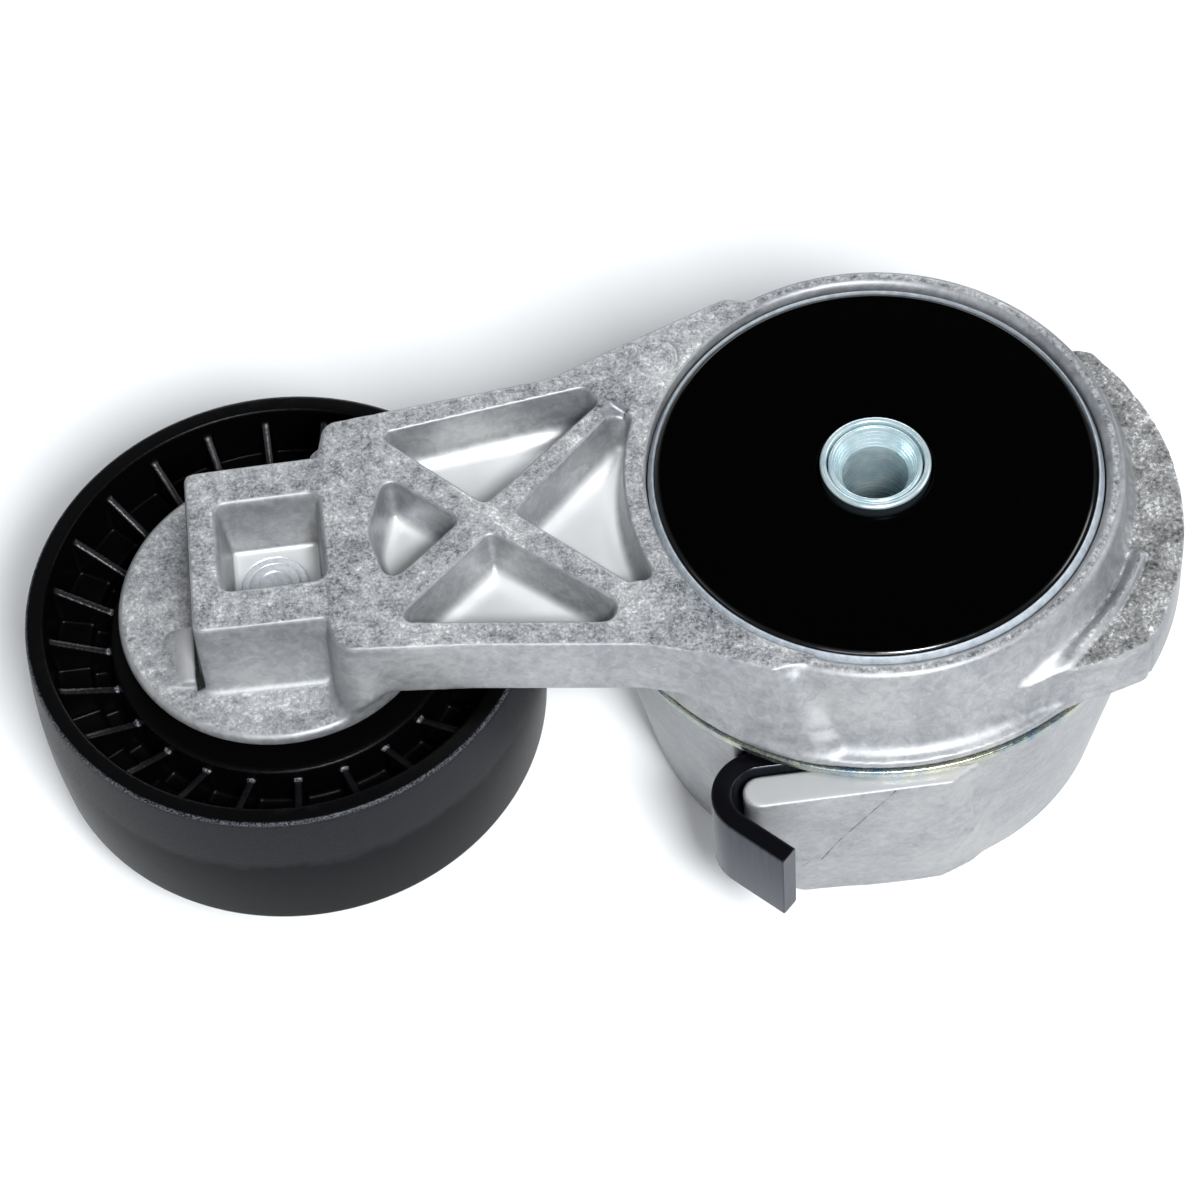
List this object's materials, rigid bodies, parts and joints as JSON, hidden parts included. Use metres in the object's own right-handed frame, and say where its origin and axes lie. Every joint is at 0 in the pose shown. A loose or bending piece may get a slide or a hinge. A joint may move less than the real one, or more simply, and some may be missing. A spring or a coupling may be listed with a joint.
{
  "type": "belt tensioner",
  "caption": "Spring-loaded belt tensioner: a die-cast arm on a round spring case carries a smooth idler pulley with a ribbed hub.",
  "frame": {"origin": "where the pivot axis meets the spring case's mounting face", "axes": "+Z along the pivot axis from the mounting face to the front plate, -X towards the pulley with the arm on its free stop"},
  "size_m": [0.1717, 0.0953, 0.0596],
  "materials": {
    "cast_aluminium": "die-cast, shot-blasted, mottled grey on the flat faces and smoother on the walls",
    "black_paint": "gloss black paint",
    "zinc_plate": "bright zinc plate with a pale blue tint",
    "olive_chromate": "zinc plate with blue to olive chromate",
    "grey_nylon": "light grey nylon",
    "black_nylon": "black glass-filled nylon",
    "spring_steel": "dark oiled spring steel",
    "bearing_steel": "ground and polished steel",
    "bushing_bronze": "sintered bronze",
    "cage_nylon": "natural nylon",
    "seal_rubber": "matt black rubber"
  },
  "bodies": {
    "base": {"base_housing": "cast_aluminium", "pivot_sleeve": "zinc_plate", "plate_collar": "zinc_plate", "front_plate": "black_paint", "damping_ring": "grey_nylon", "thrust_washer": "olive_chromate", "lower_thrust_washer": "black_nylon", "spiral_spring": "spring_steel"},
    "arm": {"tension_arm": "cast_aluminium", "pivot_bushing": "bushing_bronze", "bearing_inner_race": "bearing_steel", "bearing_spacer": "zinc_plate", "rear_dust_shield": "zinc_plate", "pulley_bolt": "zinc_plate"},
    "pulley": {"pulley": "black_nylon", "bearing_outer_race": "bearing_steel", "bearing_front_seal": "seal_rubber", "bearing_rear_seal": "seal_rubber"},
    "cage": {"bearing_cage": "cage_nylon", "bearing_ball_1": "bearing_steel", "bearing_ball_2": "bearing_steel", "bearing_ball_3": "bearing_steel", "bearing_ball_4": "bearing_steel", "bearing_ball_5": "bearing_steel", "bearing_ball_6": "bearing_steel", "bearing_ball_7": "bearing_steel"}
  },
  "joints": [
    {"name": "arm_pivot", "type": "hinge", "parent": "base", "child": "arm", "pos_m": [0, 0, 0.0427], "axis": [0, 0, 1], "range_deg": [0, 36], "stiffness_Nm_per_rad": 9, "springref_deg": -51.57, "deforming": ["spiral_spring"]},
    {"name": "pulley_spin", "type": "hinge", "parent": "arm", "child": "pulley", "pos_m": [-0.089, 0, 0.0285], "axis": [0, 0, 1], "continuous": true},
    {"name": "cage_spin", "type": "hinge", "parent": "arm", "child": "cage", "pos_m": [-0.089, 0, 0.0285], "axis": [0, 0, 1], "continuous": true}
  ],
  "couplings": [
    {"joint": "cage_spin", "follows": "pulley_spin", "ratio": 0.6364}
  ]
}
